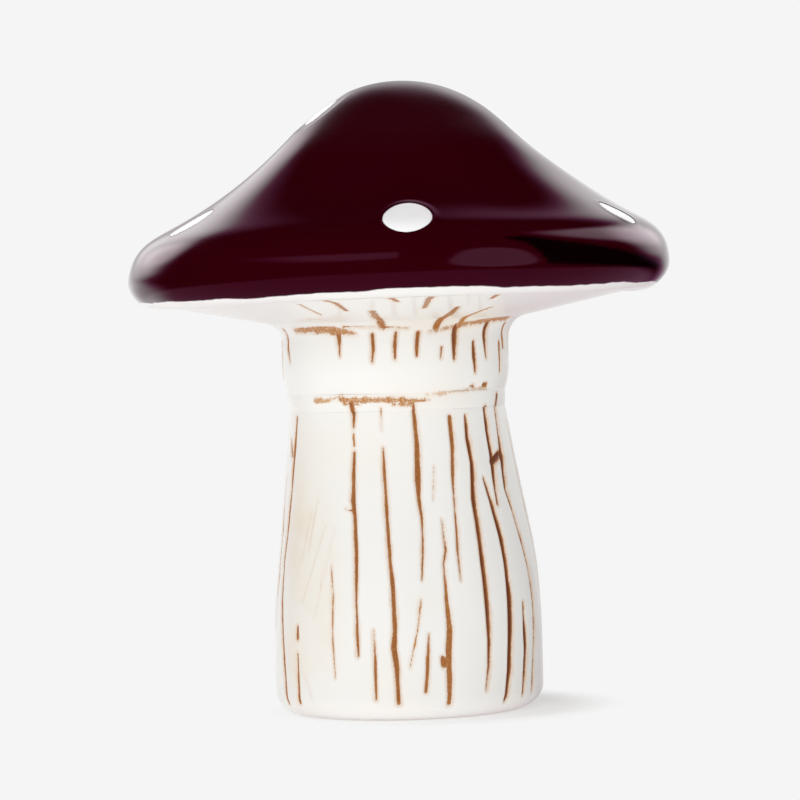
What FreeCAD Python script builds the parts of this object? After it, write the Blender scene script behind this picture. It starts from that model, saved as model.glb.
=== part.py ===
import FreeCAD, Part
import math
import os
import Sketcher

# A hollow glazed ceramic mushroom: a stem with a spigot, a cap cast in two halves, the slip that lutes
# them, and the white buttons on the cap. +Z is up, and the origin is the middle of the foot.

doc = FreeCAD.newDocument("CeramicMushroom")

# Driving sizes in millimetres. Names that end in angle are in degrees.
driving = {
    "total_height": 120.0,
    "cap_radius": 52.0,
    "rim_height": 85.0,
    "dome_radius": 28.0,
    "flare_radius": 90.0,
    "shoulder_radius": 8.0,
    "roll_radius": 6.0,
    "cap_wall": 4.0,
    "gill_fall": 4.75,
    "gill_wall": 3.6,
    "gill_fillet_radius": 4.0,
    "neck_radius": 21.8,
    "collar_foot_height": 59.8,
    "collar_edge_radius": 2.1,
    "spigot_radius": 17.0,
    "spigot_length": 9.6,
    "spigot_wall": 3.6,
    "throat_drop": 5.0,
    "slip_thickness": 0.5,
    "stem_radius": 25.7,
    "stem_top_radius": 20.4,
    "shoulder_edge_radius": 0.9,
    "swell_height": 22.6,
    "swell_radius": 130.0,
    "foot_edge_radius": 4.5,
    "stem_wall": 4.0,
    "floor_wall": 4.6,
    "inner_fillet_radius": 5.0,
    "foot_ring_width": 4.2,
    "foot_recess_depth": 0.9,
    "vent_radius": 4.0,
    "spot_radius": 4.7,
    "spot_height": 1.2,
    "spot_proud": 0.2,
    "spot_dome": 0.35,
    "spot_gap": 0.1,
    "boss_lip": 0.9,
    "boss_height": 0.5,
    "boss_root": 1.2,
    "low_spot_inset": 7.4,
    "high_spot_reach": 17.0,
}

sheet = doc.addObject("Spreadsheet::Sheet", "Sizes")
for row, (alias, value) in enumerate(driving.items(), start=1):
    sheet.set(f"A{row}", alias.replace("_", " "))
    sheet.set(f"B{row}", str(value))
    sheet.setAlias(f"B{row}", alias)
doc.recompute()


def size(alias):
    return float(sheet.get(alias))


# A point of an outline is (distance from the axis, height).
AXIS = (-1, 1)
START, END, CENTRE = 1, 2, 3


class Outline:
    """Half a section of a turned piece: lines and arcs laid end to end on the upright plane."""

    def __init__(self, body, name, start):
        self.sketch = body.newObject("Sketcher::SketchObject", name)
        plane = next(f for f in body.Origin.OriginFeatures if f.Role == "XZ_Plane")
        self.sketch.AttachmentSupport = (plane, [""])
        self.sketch.MapMode = "FlatFace"
        self.pen = start
        self.tail = None
        self.head = None

    def join(self, number, first, last, smooth):
        if self.tail is None:
            self.head = (number, first)
        elif smooth:
            self.rule("Tangent", *self.tail, number, first)
        else:
            self.rule("Coincident", *self.tail, number, first)
        self.tail = (number, last)
        return number

    def line(self, reach, height, smooth=False):
        start = FreeCAD.Vector(*self.pen, 0)
        number = self.sketch.addGeometry(Part.LineSegment(start, FreeCAD.Vector(reach, height, 0)))
        self.pen = (reach, height)
        return self.join(number, START, END, smooth)

    def arc(self, centre, reach, height, smooth=True):
        """The short way round the centre, from the pen to the given point."""
        radius = math.dist(centre, self.pen)
        begin = math.atan2(self.pen[1] - centre[1], self.pen[0] - centre[0])
        finish = math.atan2(height - centre[1], reach - centre[0])
        sweep = math.remainder(finish - begin, math.tau)
        circle = Part.Circle(FreeCAD.Vector(*centre, 0), FreeCAD.Vector(0, 0, 1), radius)
        low = min(begin, begin + sweep)
        number = self.sketch.addGeometry(Part.ArcOfCircle(circle, low, low + abs(sweep)))
        self.pen = (reach, height)
        if sweep > 0:
            return self.join(number, START, END, smooth)
        return self.join(number, END, START, smooth)

    def close(self):
        self.rule("Coincident", *self.tail, *self.head)

    def rule(self, *words):
        return self.sketch.addConstraint(Sketcher.Constraint(*words))

    def dimension(self, kind, *words):
        """The last word is the expression that sets the dimension."""
        number = self.rule(kind, *words[:-1], self.measure(words[-1]))
        self.sketch.setExpression(f"Constraints[{number}]", words[-1])

    def reach(self, point, expression):
        """Distance of a point from the axis."""
        self.dimension("DistanceX", *AXIS, *point, expression)

    def height(self, point, expression):
        self.dimension("DistanceY", *AXIS, *point, expression)

    def radius(self, number, expression):
        self.dimension("Radius", number, expression)

    def measure(self, expression):
        return float(self.sketch.evalExpression(expression))


def turned(name, draw):
    """A body whose outline, drawn by the given function, is turned a full circle about the axis."""
    body = doc.addObject("PartDesign::Body", name)
    body.Label = name
    outline = draw(body)
    outline.close()
    turn = body.newObject("PartDesign::Revolution", f"{name}_turn")
    turn.Profile = outline.sketch
    turn.ReferenceAxis = (outline.sketch, ["V_Axis"])
    turn.Angle = 360
    body.Tip = turn
    return body


# Where the four arcs of the crown meet. The flare is hollow outwards and touches the dome and the shoulder.
dome_centre = (0.0, size("total_height") - size("dome_radius"))
shoulder_centre = (size("cap_radius") - size("shoulder_radius"), size("rim_height"))
roll_centre = (size("cap_radius") - size("roll_radius"), size("rim_height"))


def flare_middle():
    """Centre of the flare: its distance to each neighbour's centre is the sum of the two radii."""
    to_dome = size("flare_radius") + size("dome_radius")
    to_shoulder = size("flare_radius") + size("shoulder_radius")
    span = math.dist(dome_centre, shoulder_centre)
    along = (to_dome**2 - to_shoulder**2 + span**2) / (2 * span)
    across = math.sqrt(to_dome**2 - along**2)
    step = ((shoulder_centre[0] - dome_centre[0]) / span, (shoulder_centre[1] - dome_centre[1]) / span)
    return (
        dome_centre[0] + along * step[0] - across * step[1],
        dome_centre[1] + along * step[1] + across * step[0],
    )


flare_centre = flare_middle()


def toward(centre, target, distance):
    length = math.dist(centre, target)
    return tuple(c + (t - c) * distance / length for c, t in zip(centre, target))


def crown_outline(body):
    """Outside from the apex down to the rolled rim, inside back up at one wall's distance."""
    wall = size("cap_wall")
    rim = size("rim_height")
    outline = Outline(body, "crown_section", (0.0, size("total_height")))
    dome = outline.arc(dome_centre, *toward(dome_centre, flare_centre, size("dome_radius")))
    flare = outline.arc(flare_centre, *toward(shoulder_centre, flare_centre, size("shoulder_radius")))
    shoulder = outline.arc(shoulder_centre, size("cap_radius"), rim)
    roll = outline.arc(roll_centre, roll_centre[0], rim - size("roll_radius"))
    lip = outline.line(roll_centre[0], rim - size("roll_radius") + wall)
    roll_inside = outline.arc(roll_centre, size("cap_radius") - wall, rim, smooth=False)
    near = toward(shoulder_centre, flare_centre, size("shoulder_radius") - wall)
    shoulder_inside = outline.arc(shoulder_centre, *near)
    flare_inside = outline.arc(flare_centre, *toward(dome_centre, flare_centre, size("dome_radius") - wall))
    dome_inside = outline.arc(dome_centre, 0.0, size("total_height") - wall)
    axis = outline.line(0.0, size("total_height"))
    pairs = (
        (dome_inside, dome),
        (flare_inside, flare),
        (shoulder_inside, shoulder),
        (roll_inside, roll),
    )
    for inside, outside in pairs:
        outline.rule("Coincident", inside, CENTRE, outside, CENTRE)
    outline.rule("PointOnObject", dome, CENTRE, -2)
    outline.rule("PointOnObject", axis, END, -2)
    outline.rule("Vertical", axis)
    outline.rule("Vertical", lip)
    outline.rule("Vertical", roll, CENTRE, lip, START)
    outline.rule("Horizontal", shoulder, CENTRE, roll, CENTRE)
    outline.height((axis, END), "Sizes.total_height")
    outline.radius(dome, "Sizes.dome_radius")
    outline.radius(flare, "Sizes.flare_radius")
    outline.radius(shoulder, "Sizes.shoulder_radius")
    outline.radius(roll, "Sizes.roll_radius")
    outline.height((roll, CENTRE), "Sizes.rim_height")
    outline.reach((roll, CENTRE), "Sizes.cap_radius - Sizes.roll_radius")
    outline.dimension("DistanceY", axis, START, axis, END, "Sizes.cap_wall")
    return outline


def boss_skin_outline(body):
    """The outside of the crown down to its widest, lifted by the height of a boss, as a solid."""
    lift = size("boss_height")
    rim = size("rim_height")
    outline = Outline(body, "boss_skin_section", (0.0, size("total_height") + lift))
    dome = outline.arc(dome_centre, *toward(dome_centre, flare_centre, size("dome_radius") + lift))
    near = toward(shoulder_centre, flare_centre, size("shoulder_radius") + lift)
    flare = outline.arc(flare_centre, *near)
    shoulder = outline.arc(shoulder_centre, size("cap_radius") + lift, rim)
    base = outline.line(0.0, rim)
    axis = outline.line(0.0, size("total_height") + lift)
    outline.rule("Horizontal", base)
    outline.rule("Vertical", axis)
    outline.rule("PointOnObject", dome, CENTRE, -2)
    outline.rule("PointOnObject", axis, END, -2)
    outline.rule("Horizontal", shoulder, CENTRE, base, START)
    outline.height((axis, END), "Sizes.total_height + Sizes.boss_height")
    outline.radius(dome, "Sizes.dome_radius + Sizes.boss_height")
    outline.radius(flare, "Sizes.flare_radius - Sizes.boss_height")
    outline.radius(shoulder, "Sizes.shoulder_radius + Sizes.boss_height")
    outline.height((base, START), "Sizes.rim_height")
    outline.reach((base, START), "Sizes.cap_radius + Sizes.boss_height")
    return outline


def underside_outline(body):
    """Gilled plate that falls inwards to the neck, and the collar that slips over the spigot."""
    edge = roll_centre[0] - size("slip_thickness")
    low = size("rim_height") - size("roll_radius")
    neck = size("neck_radius")
    foot = size("collar_foot_height")
    bore = size("spigot_radius") + size("slip_thickness")
    slope = size("gill_fall") / (edge - neck)
    throat = size("gill_fillet_radius")
    corner = size("collar_edge_radius")
    lean = math.atan(slope)
    setback = throat * math.tan(math.pi / 4 - lean / 2)
    crook = low - size("gill_fall")
    outline = Outline(body, "underside_section", (edge, low))
    gills = outline.line(neck + setback * math.cos(lean), crook + setback * math.sin(lean))
    fillet = outline.arc((neck + throat, crook - setback), neck, crook - setback)
    side = outline.line(neck, foot + corner, smooth=True)
    round_edge = outline.arc((neck - corner, foot + corner), neck - corner, foot)
    seat = outline.line(bore, foot, smooth=True)
    inside = outline.line(bore, low + size("gill_wall") - slope * (edge - bore))
    top = outline.line(edge, low + size("gill_wall"))
    rim = outline.line(edge, low)
    outline.rule("Vertical", side)
    outline.rule("Horizontal", seat)
    outline.rule("Vertical", inside)
    outline.rule("Parallel", gills, top)
    outline.rule("Vertical", rim)
    outline.reach((rim, END), "Sizes.cap_radius - Sizes.roll_radius - Sizes.slip_thickness")
    outline.height((rim, END), "Sizes.rim_height - Sizes.roll_radius")
    outline.dimension("DistanceY", rim, END, rim, START, "Sizes.gill_wall")
    outline.dimension(
        "Angle",
        gills,
        "atan(Sizes.gill_fall / (Sizes.cap_radius - Sizes.roll_radius"
        " - Sizes.slip_thickness - Sizes.neck_radius)) - 180 deg",
    )
    outline.radius(fillet, "Sizes.gill_fillet_radius")
    outline.radius(round_edge, "Sizes.collar_edge_radius")
    outline.reach((side, START), "Sizes.neck_radius")
    outline.height((seat, END), "Sizes.collar_foot_height")
    outline.reach((seat, END), "Sizes.spigot_radius + Sizes.slip_thickness")
    return outline


def stem_outline(body):
    """Stem with its closed foot, shoulder and spigot. Outside from the foot up, inside back down."""
    wall = size("stem_wall")
    reach = size("stem_radius")
    corner = size("foot_edge_radius")
    ring = reach - corner
    recess = size("foot_recess_depth")
    shoulder = size("collar_foot_height") - size("slip_thickness")
    neck = size("stem_top_radius")
    soft = size("shoulder_edge_radius")
    tip = size("collar_foot_height") + size("spigot_length")
    bore = size("spigot_radius") - size("spigot_wall")
    throat = shoulder - size("throat_drop")
    floor = recess + size("floor_wall")
    fillet = size("inner_fillet_radius")
    lean = math.atan((reach - neck) / (shoulder - size("swell_height")))
    swell = size("swell_radius")
    belly = size("swell_height") - swell * math.tan(lean / 2)
    belly_centre = (reach - swell, belly)
    setback = soft * math.tan(math.pi / 4 - lean / 2)

    def on_cone(height, inset):
        """Distance from the axis of the leaning wall, outside or one wall inside it."""
        return reach - (height - size("swell_height")) * math.tan(lean) - inset / math.cos(lean)

    def on_swell(radius):
        return reach - swell + radius * math.cos(lean), belly + radius * math.sin(lean)

    outline = Outline(body, "stem_section", (ring - size("foot_ring_width"), 0.0))
    foot = outline.line(ring, 0.0)
    edge = outline.arc((ring, corner), reach, corner)
    side = outline.line(reach, belly, smooth=True)
    bulge = outline.arc(belly_centre, *on_swell(swell))
    cone = outline.line(neck + setback * math.sin(lean), shoulder - setback * math.cos(lean), smooth=True)
    soft_edge = outline.arc((neck - setback, shoulder - soft), neck - setback, shoulder)
    seat = outline.line(size("spigot_radius"), shoulder, smooth=True)
    spigot = outline.line(size("spigot_radius"), tip)
    mouth = outline.line(bore, tip)
    bore_side = outline.line(bore, shoulder)
    funnel = outline.line(on_cone(throat, wall), throat)
    inner_cone = outline.line(*on_swell(swell - wall))
    inner_bulge = outline.arc(belly_centre, reach - wall, belly)
    inner_side = outline.line(reach - wall, floor + fillet, smooth=True)
    inner_fillet = outline.arc((reach - wall - fillet, floor + fillet), reach - wall - fillet, floor)
    inside_floor = outline.line(0.0, floor, smooth=True)
    axis = outline.line(0.0, recess)
    underfoot = outline.line(ring - size("foot_ring_width") - recess, recess)
    ramp = outline.line(ring - size("foot_ring_width"), 0.0)

    for upright in (side, spigot, bore_side, inner_side, axis):
        outline.rule("Vertical", upright)
    for level in (foot, seat, mouth, inside_floor, underfoot):
        outline.rule("Horizontal", level)
    outline.rule("Coincident", inner_bulge, CENTRE, bulge, CENTRE)
    outline.rule("PointOnObject", axis, START, -2)
    outline.rule("PointOnObject", foot, START, -1)
    outline.reach((ramp, END), "Sizes.stem_radius - Sizes.foot_edge_radius - Sizes.foot_ring_width")
    outline.reach((underfoot, END), "Sizes.stem_radius - Sizes.foot_edge_radius - Sizes.foot_ring_width"
                  " - Sizes.foot_recess_depth")
    outline.reach((side, START), "Sizes.stem_radius")
    outline.radius(edge, "Sizes.foot_edge_radius")
    outline.radius(bulge, "Sizes.swell_radius")
    outline.radius(soft_edge, "Sizes.shoulder_edge_radius")
    outline.height((seat, END), "Sizes.collar_foot_height - Sizes.slip_thickness")
    outline.reach((seat, END), "Sizes.spigot_radius")
    outline.dimension("DistanceY", seat, END, spigot, END, "Sizes.spigot_length + Sizes.slip_thickness")
    outline.dimension("DistanceX", mouth, END, mouth, START, "Sizes.spigot_wall")
    outline.rule("Horizontal", bore_side, END, seat, END)
    outline.dimension("DistanceY", funnel, END, funnel, START, "Sizes.throat_drop")
    outline.dimension("DistanceX", inner_side, START, side, END, "Sizes.stem_wall")
    outline.radius(inner_fillet, "Sizes.inner_fillet_radius")
    outline.height((axis, END), "Sizes.foot_recess_depth")
    outline.dimension("DistanceY", axis, END, axis, START, "Sizes.floor_wall")
    slope = (
        "atan((Sizes.stem_radius - Sizes.stem_top_radius)"
        " / (Sizes.collar_foot_height - Sizes.slip_thickness - Sizes.swell_height))"
    )
    outline.height((bulge, START), f"Sizes.swell_height - Sizes.swell_radius * tan(0.5 * {slope})")
    outline.dimension("Angle", cone, f"90 deg + {slope}")
    return outline


def collar_slip_outline(body):
    """Slip between stem and cap: a washer on the shoulder with a round bead, and a sleeve on the spigot."""
    low = size("collar_foot_height") - size("slip_thickness")
    high = size("collar_foot_height")
    near = size("spigot_radius")
    far = size("neck_radius") - size("collar_edge_radius")
    middle = (far, (low + high) / 2)
    outline = Outline(body, "collar_slip_section", (near, low))
    bottom = outline.line(far, low)
    bead = outline.arc(middle, far + size("slip_thickness") / 2, middle[1], smooth=False)
    bead_top = outline.arc(middle, far, high)
    top = outline.line(near + size("slip_thickness"), high)
    sleeve = outline.line(near + size("slip_thickness"), high + size("spigot_length"))
    end = outline.line(near, high + size("spigot_length"))
    inside = outline.line(near, low)
    for level in (bottom, top, end):
        outline.rule("Horizontal", level)
    for upright in (sleeve, inside):
        outline.rule("Vertical", upright)
    outline.rule("Coincident", bead, CENTRE, bead_top, CENTRE)
    outline.rule("Vertical", bead, CENTRE, bottom, END)
    outline.rule("Vertical", bead, CENTRE, top, START)
    outline.rule("Horizontal", bead, CENTRE, bead, END)
    outline.reach((bottom, START), "Sizes.spigot_radius")
    outline.reach((bottom, END), "Sizes.neck_radius - Sizes.collar_edge_radius")
    outline.height((bottom, START), "Sizes.collar_foot_height - Sizes.slip_thickness")
    outline.dimension("DistanceX", end, END, end, START, "Sizes.slip_thickness")
    outline.dimension("DistanceY", inside, END, sleeve, START, "Sizes.slip_thickness")
    outline.dimension("DistanceY", sleeve, START, sleeve, END, "Sizes.spigot_length")
    return outline


def rim_slip_outline(body):
    """Slip between the two halves of the cap: a plain ring in the butt joint under the rim."""
    near = roll_centre[0] - size("slip_thickness")
    low = size("rim_height") - size("roll_radius")
    high = low + size("gill_wall")
    outline = Outline(body, "rim_slip_section", (near, low))
    bottom = outline.line(roll_centre[0], low)
    outside = outline.line(roll_centre[0], high)
    top = outline.line(near, high)
    inside = outline.line(near, low)
    for level in (bottom, top):
        outline.rule("Horizontal", level)
    for upright in (outside, inside):
        outline.rule("Vertical", upright)
    outline.reach((bottom, END), "Sizes.cap_radius - Sizes.roll_radius")
    outline.height((bottom, START), "Sizes.rim_height - Sizes.roll_radius")
    outline.dimension("DistanceX", bottom, START, bottom, END, "Sizes.slip_thickness")
    outline.dimension("DistanceY", outside, START, outside, END, "Sizes.gill_wall")
    return outline


def button_outline(body):
    """White button: flat underneath, upright side, low dome on top."""
    reach = size("spot_radius")
    rise = size("spot_dome")
    crest = size("spot_height")
    radius = (reach**2 + rise**2) / (2 * rise)
    outline = Outline(body, f"{body.Name}_section", (0.0, 0.0))
    bottom = outline.line(reach, 0.0)
    side = outline.line(reach, crest - rise)
    dome = outline.arc((0.0, crest - radius), 0.0, crest, smooth=False)
    axis = outline.line(0.0, 0.0)
    outline.rule("PointOnObject", bottom, END, -1)
    outline.rule("Vertical", side)
    outline.rule("PointOnObject", dome, CENTRE, -2)
    outline.rule("Coincident", bottom, START, *AXIS)
    outline.rule("PointOnObject", axis, START, -2)
    outline.reach((bottom, END), "Sizes.spot_radius")
    outline.height((dome, END), "Sizes.spot_height")
    outline.height((side, END), "Sizes.spot_height - Sizes.spot_dome")
    return outline


def on_crown(reach, azimuth, lift):
    """Placement on the cap, its Z axis square to the glaze. Azimuth 0 faces -Y, and turns towards +X."""
    if reach < toward(dome_centre, flare_centre, size("dome_radius"))[0]:
        lean = math.asin(reach / size("dome_radius"))
        height = dome_centre[1] + size("dome_radius") * math.cos(lean)
    else:
        lean = math.asin((flare_centre[0] - reach) / size("flare_radius"))
        height = flare_centre[1] - size("flare_radius") * math.cos(lean)
    point = FreeCAD.Vector(reach + lift * math.sin(lean), 0, height + lift * math.cos(lean))
    tilt = FreeCAD.Rotation(FreeCAD.Vector(0, 1, 0), math.degrees(lean))
    swing = FreeCAD.Rotation(FreeCAD.Vector(0, 0, 1), azimuth - 90)
    return FreeCAD.Placement(swing.multVec(point), swing * tilt)


def part_object(kind, name, placement, **bound):
    """A primitive whose properties are bound to the sheet."""
    thing = doc.addObject(kind, name)
    for field, expression in bound.items():
        thing.setExpression(field, expression)
    thing.Placement = placement
    return thing


def cut(name, base, tool):
    result = doc.addObject("Part::Cut", name)
    result.Label = name
    result.Base = base
    result.Tool = tool
    return result


def fuse(name, shapes):
    result = doc.addObject("Part::MultiFuse", name)
    result.Shapes = shapes
    return result


# Azimuth in degrees of each button and its distance from the axis: a low row on the flare, two on the dome.
low_spot_reach = size("cap_radius") - size("low_spot_inset")
spot_places = {
    "spot_front": (2, low_spot_reach),
    "spot_right": (62, low_spot_reach),
    "spot_back_right": (121, low_spot_reach),
    "spot_back": (180, low_spot_reach),
    "spot_back_left": (-121, low_spot_reach),
    "spot_left": (-65, low_spot_reach),
    "spot_upper_left": (-84, size("high_spot_reach")),
    "spot_upper_right": (104, size("high_spot_reach")),
}

stem = turned("stem", stem_outline)
vent_sketch = stem.newObject("Sketcher::SketchObject", "vent_section")
vent_sketch.AttachmentSupport = (
    next(f for f in stem.Origin.OriginFeatures if f.Role == "XY_Plane"),
    [""],
)
vent_sketch.MapMode = "FlatFace"
vent_circle = vent_sketch.addGeometry(
    Part.Circle(FreeCAD.Vector(), FreeCAD.Vector(0, 0, 1), size("vent_radius"))
)
vent_sketch.addConstraint(Sketcher.Constraint("Coincident", vent_circle, CENTRE, *AXIS))
vent_size = vent_sketch.addConstraint(Sketcher.Constraint("Radius", vent_circle, size("vent_radius")))
vent_sketch.setExpression(f"Constraints[{vent_size}]", "Sizes.vent_radius")
vent = stem.newObject("PartDesign::Pocket", "vent")
vent.Profile = vent_sketch
vent.Type = "ThroughAll"
vent.Midplane = True
stem.Tip = vent

underside = turned("cap_underside", underside_outline)
collar_slip = turned("collar_slip_joint", collar_slip_outline)
rim_slip = turned("rim_slip_joint", rim_slip_outline)
shell = turned("crown_shell", crown_outline)

# Each button stands in a pocket in a low boss, which follows the curve of the crown.
buttons = []
bosses = []
pockets = []
pocket_floor = size("boss_height") + size("spot_proud") - size("spot_height")
for name, (azimuth, reach) in spot_places.items():
    boss = part_object(
        "Part::Cylinder",
        f"{name}_boss",
        on_crown(reach, azimuth, -size("boss_root")),
        Radius="Sizes.spot_radius + Sizes.boss_lip",
        Height="Sizes.boss_root + 2 * Sizes.boss_height",
    )
    pocket = part_object(
        "Part::Cylinder",
        f"{name}_pocket",
        on_crown(reach, azimuth, pocket_floor),
        Radius="Sizes.spot_radius + Sizes.spot_gap",
        Height="Sizes.spot_height",
    )
    button = turned(name, button_outline)
    button.Placement = on_crown(reach, azimuth, pocket_floor)
    bosses.append(boss)
    pockets.append(pocket)
    buttons.append(button)
skin = turned("boss_skin", boss_skin_outline)
boss_tops = doc.addObject("Part::MultiCommon", "boss_tops")
boss_tops.Shapes = [skin, fuse("boss_posts", bosses)]
crown = cut("cap_crown", fuse("crown_with_bosses", [shell, boss_tops]), fuse("spot_pockets", pockets))

doc.recompute()
pieces = [stem, collar_slip, underside, rim_slip, crown, *buttons]
for thing in doc.Objects:
    if "Invalid" in thing.State or "Error" in thing.State:
        raise RuntimeError(f"{thing.Name} did not build: {thing.State}")
os.makedirs("parts", exist_ok=True)
for piece in pieces:
    shape = piece.Shape
    if shape.isNull() or not shape.isValid() or len(shape.Solids) != 1:
        raise RuntimeError(f"{piece.Label} is not one valid solid")
for piece in pieces:
    piece.Shape.exportStep(f"parts/{piece.Label}.step")
    print(f"{piece.Label}: {piece.Shape.Volume:.1f} mm3")
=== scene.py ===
# Glazed ceramic mushroom: the finish and the handwork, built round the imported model.
from math import atan, atan2, cos, pi, radians, sin, tau

import bpy
import numpy as np
from mathutils import Matrix, Vector


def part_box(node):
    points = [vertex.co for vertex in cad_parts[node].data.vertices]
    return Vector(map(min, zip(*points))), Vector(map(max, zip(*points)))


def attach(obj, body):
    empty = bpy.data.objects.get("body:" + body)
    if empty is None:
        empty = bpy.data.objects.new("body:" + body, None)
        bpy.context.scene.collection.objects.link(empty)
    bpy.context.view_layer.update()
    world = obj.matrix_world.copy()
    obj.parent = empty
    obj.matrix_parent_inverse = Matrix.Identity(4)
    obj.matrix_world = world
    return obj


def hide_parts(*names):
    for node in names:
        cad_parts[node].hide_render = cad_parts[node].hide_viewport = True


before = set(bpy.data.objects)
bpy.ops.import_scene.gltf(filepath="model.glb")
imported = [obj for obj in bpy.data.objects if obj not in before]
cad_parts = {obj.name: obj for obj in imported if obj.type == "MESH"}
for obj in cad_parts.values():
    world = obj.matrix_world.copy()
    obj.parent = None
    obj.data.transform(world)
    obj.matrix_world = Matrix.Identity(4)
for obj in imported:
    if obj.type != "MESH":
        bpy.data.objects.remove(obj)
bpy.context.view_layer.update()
scene = bpy.context.scene
scene.view_settings.view_transform = "Standard"
mm = 0.001
print("solids loaded:", len(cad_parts), "nodes")


# Camera and photograph

photoCamera = {
    "distance": 0.760,
    "height": 0.0800,
    "sensorMm": 36.0,
    "frameSize": 800,
    "focalPixels": 3960.0,
    "horizonRow": 292.0,
    "rollDegrees": 1.8,
    "clip": (0.05, 60.0),
}
photoCentre = photoCamera["frameSize"] / 2
photoPitch = atan((photoCentre - photoCamera["horizonRow"]) / photoCamera["focalPixels"])


def placeCamera():
    data = bpy.data.cameras.new("photoCamera")
    data.sensor_width = photoCamera["sensorMm"]
    data.lens = photoCamera["focalPixels"] / photoCamera["frameSize"] * photoCamera["sensorMm"]
    data.clip_start, data.clip_end = photoCamera["clip"]
    camera = bpy.data.objects.new("photoCamera", data)
    tilt = Matrix.Rotation(pi / 2 - photoPitch, 4, "X")
    roll = Matrix.Rotation(-radians(photoCamera["rollDegrees"]), 4, "Z")
    place = Matrix.Translation((0, -photoCamera["distance"], photoCamera["height"]))
    camera.matrix_world = place @ tilt @ roll
    scene.collection.objects.link(camera)
    scene.camera = camera


placeCamera()


def photoRays(pixels):
    # A pixel's ray: turn the pixel back by the roll, then forward + right * x + up * y.
    across, down = (np.asarray(pixels, float)[:, :2] - photoCentre).T
    roll = radians(photoCamera["rollDegrees"])
    level = across * cos(roll) - down * sin(roll)
    rise = -(across * sin(roll) + down * cos(roll))
    forward = np.array([0, cos(photoPitch), -sin(photoPitch)])
    up = np.array([0, sin(photoPitch), cos(photoPitch)])
    right = np.array([1.0, 0, 0])
    rays = forward + (right * level[:, None] + up * rise[:, None]) / photoCamera["focalPixels"]
    start = np.array([0, -photoCamera["distance"], photoCamera["height"]]) / mm
    return start, rays / np.linalg.norm(rays, axis=1)[:, None]


# Turned shapes. Lengths here are in millimetres until the mesh is made.


def arcPoints(centre, radius, first, last, step):
    # Points of a circle from one angle to another, no further apart than the step.
    count = max(2, int(abs(last - first) * radius / step) + 2)
    angle = np.linspace(first, last, count)
    return np.column_stack([centre[0] + radius * np.cos(angle), centre[1] + radius * np.sin(angle)])


def linePoints(start, end, step):
    count = max(2, int(np.hypot(end[0] - start[0], end[1] - start[1]) / step) + 2)
    share = np.linspace(0, 1, count)[:, None]
    return (1 - share) * np.asarray(start, float) + share * np.asarray(end, float)


def cornerPath(corners, steps):
    # Straight stretches from corner to corner, each with its own step.
    return joinPath(*map(linePoints, corners, corners[1:], steps))


def joinPath(*stretches):
    # One path without the doubled points where two stretches meet.
    path = np.vstack(stretches)
    moved = np.hypot(*np.diff(path, axis=0).T) > 1e-6
    return path[np.concatenate([[True], moved])]


def pathNormals(path, closed):
    # The tangent turned a quarter clockwise: outwards for a path that climbs the outside.
    if closed:
        ahead, behind = np.roll(path, -1, axis=0), np.roll(path, 1, axis=0)
    else:
        ahead, behind = np.vstack([path[1:], path[-1:]]), np.vstack([path[:1], path[:-1]])
    tangent = ahead - behind
    tangent /= np.linalg.norm(tangent, axis=1)[:, None]
    return np.column_stack([tangent[:, 1], -tangent[:, 0]])


def smoothStep(low, high, value):
    share = np.clip((value - low) / (high - low), 0, 1)
    return share * share * (3 - 2 * share)


def turnedMesh(name, x, y, z, closed=False, poles=(False, False), fields=None):
    # A grid: rows along the profile, columns round the axis. A row at a pole shrinks to one point,
    # and there a quad with two equal corners becomes a triangle.
    rows, columns = x.shape
    points = np.stack([x, y, z], axis=-1).reshape(-1, 3) * mm
    number = np.arange(rows * columns).reshape(rows, columns)
    if poles[0]:
        points[0] = points[:columns].mean(axis=0)
        number[0] = 0
    if poles[1]:
        points[-columns] = points[-columns:].mean(axis=0)
        number[-1] = (rows - 1) * columns
    lower = number if closed else number[:-1]
    upper = np.roll(number, -1, axis=0) if closed else number[1:]
    corners = [lower, np.roll(lower, -1, axis=1), np.roll(upper, -1, axis=1), upper]
    quads = np.stack(corners, axis=-1).reshape(-1, 4)
    used, quads = np.unique(quads, return_inverse=True)
    quads = quads.reshape(-1, 4)
    points = points[used]
    atFirst = quads[:, 0] == quads[:, 1]
    atLast = quads[:, 2] == quads[:, 3]
    faceSets = [quads[~atFirst & ~atLast], quads[atFirst][:, [0, 2, 3]], quads[atLast][:, [0, 1, 2]]]
    # The signed volume tells which way the faces look.
    across = points[quads[:, 2]] - points[quads[:, 0]]
    along = points[quads[:, 3]] - points[quads[:, 1]]
    if (points[quads].mean(axis=1) * np.cross(across, along)).sum() < 0:
        faceSets = [faces[:, ::-1] for faces in faceSets]
    mesh = bpy.data.meshes.new(name)
    mesh.from_pydata(points.tolist(), [], [face for faces in faceSets for face in faces.tolist()])
    mesh.shade_smooth()
    for field, values in (fields or {}).items():
        layer = mesh.attributes.new(field, "FLOAT", "POINT")
        whole = np.broadcast_to(values, x.shape).reshape(-1)[used]
        layer.data.foreach_set("value", whole.astype(np.float32))
    piece = bpy.data.objects.new(name, mesh)
    scene.collection.objects.link(piece)
    return piece


def finishPiece(piece, material, slot, *nodes):
    piece.data.materials.append(material)
    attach(piece, "root")
    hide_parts(*nodes)
    print(piece.name, len(piece.data.polygons), "faces")


def bellAverage(values, count):
    # A running average with bell-shaped weights, which reach the given count of places each way.
    bell = np.exp(-0.5 * np.linspace(-3, 3, 2 * count + 1) ** 2)
    return np.convolve(np.pad(values, count, mode="edge"), bell / bell.sum(), mode="valid")


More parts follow.
